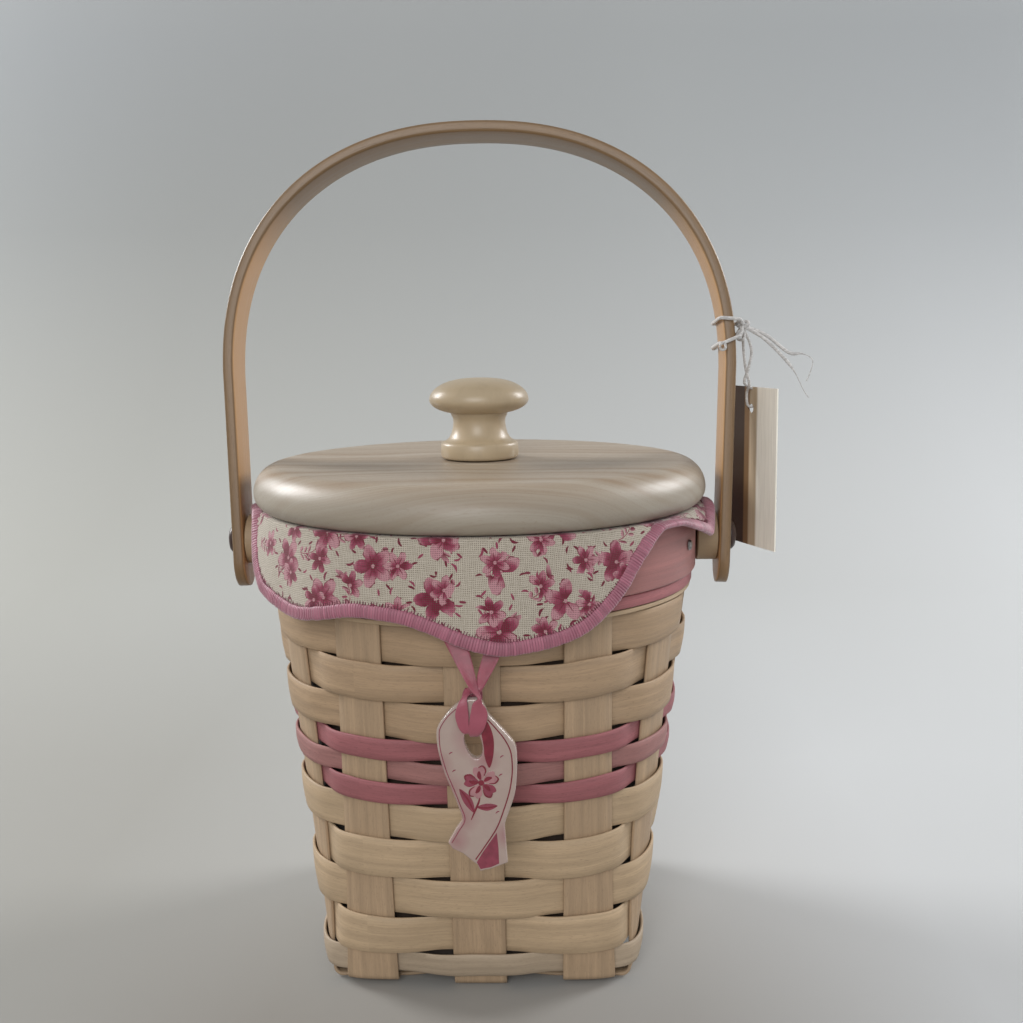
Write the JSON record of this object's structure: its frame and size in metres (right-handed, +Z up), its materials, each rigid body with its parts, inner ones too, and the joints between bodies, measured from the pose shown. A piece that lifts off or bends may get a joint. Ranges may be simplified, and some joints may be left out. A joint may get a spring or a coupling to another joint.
{
  "type": "lidded basket",
  "caption": "Tapered woven splint basket with a swing handle, turned wooden lid with a knob, cloth liner, hanging charm and blank tag.",
  "frame": {"origin": "middle of the base, on the underside of the middle side-to-side splint, at floor level", "axes": "+Z up, +X to the right along the handle's pivot axis, the front with the charm faces -Y"},
  "size_m": [0.1878, 0.1523, 0.2623],
  "materials": {
    "natural_splint": "bare maple splint, satin",
    "pale_splint": "bare maple splint, paler",
    "pink_splint": "pink-dyed splint",
    "light_pink_splint": "lightly dyed splint",
    "pink_band": "pink-stained rim band",
    "tack_steel": "small tack",
    "liner_cloth": "cream linen weave with a pink floral print",
    "binding_thread": "pink overlocked edge",
    "ribbon_satin": "pink satin ribbon",
    "charm_glaze": "glossy glaze",
    "lid_maple": "satin lacquered maple",
    "knob_lacquer": "gloss cream lacquer",
    "screw_steel": "zinc plated",
    "handle_maple": "bentwood, satin",
    "spacer_wood": "bare turned wood",
    "rivet_cap": "dark brown",
    "tag_card": "blank silk-finish card",
    "tag_string": "white cotton string"
  },
  "bodies": {
    "basket": {"splint_front_to_back_left": "natural_splint", "splint_front_to_back_middle": "natural_splint", "splint_front_to_back_right": "natural_splint", "splint_side_to_side_front": "natural_splint", "splint_side_to_side_middle": "natural_splint", "splint_side_to_side_back": "natural_splint", "weaver_01": "pale_splint", "weaver_02": "natural_splint", "weaver_03": "natural_splint", "weaver_04": "natural_splint", "weaver_05": "natural_splint", "weaver_06": "pink_splint", "weaver_07": "light_pink_splint", "weaver_08": "pink_splint", "weaver_09": "natural_splint", "weaver_10": "natural_splint", "weaver_11": "natural_splint", "rim_plain_trim": "natural_splint", "rim_pink_trim": "pink_splint", "rim_outer_band": "pink_band", "rim_inner_band": "natural_splint", "rim_tack_1": "tack_steel", "rim_tack_2": "tack_steel", "rim_tack_3": "tack_steel", "rim_tack_4": "tack_steel", "rim_tack_5": "tack_steel", "rim_tack_6": "tack_steel", "rim_tack_7": "tack_steel", "rim_tack_8": "tack_steel", "liner": "liner_cloth", "liner_binding": "binding_thread", "handle_spacer_left": "spacer_wood", "handle_spacer_right": "spacer_wood", "handle_rivet_left": "rivet_cap", "handle_rivet_right": "rivet_cap"},
    "lid": {"lid_disc": "lid_maple", "lid_knob": "knob_lacquer", "lid_knob_screw": "screw_steel"},
    "handle": {"handle_bow": "handle_maple", "hang_tag": "tag_card", "hang_tag_string": "tag_string"},
    "charm": {"charm": "charm_glaze", "charm_ribbon": "ribbon_satin"}
  },
  "joints": [
    {"name": "lid_lift", "type": "slide", "parent": "basket", "child": "lid", "axis": [0, 0, 1], "range_m": [0, 0.06]},
    {"name": "handle_swing", "type": "hinge", "parent": "basket", "child": "handle", "pos_m": [0, 0, 0.13055], "axis": [1, 0, 0], "range_deg": [-109, 121]},
    {"name": "charm_swing", "type": "hinge", "parent": "basket", "child": "charm", "pos_m": [0, -0.0705, 0.122], "axis": [0, 1, 0], "range_deg": [-12, 12]}
  ]
}
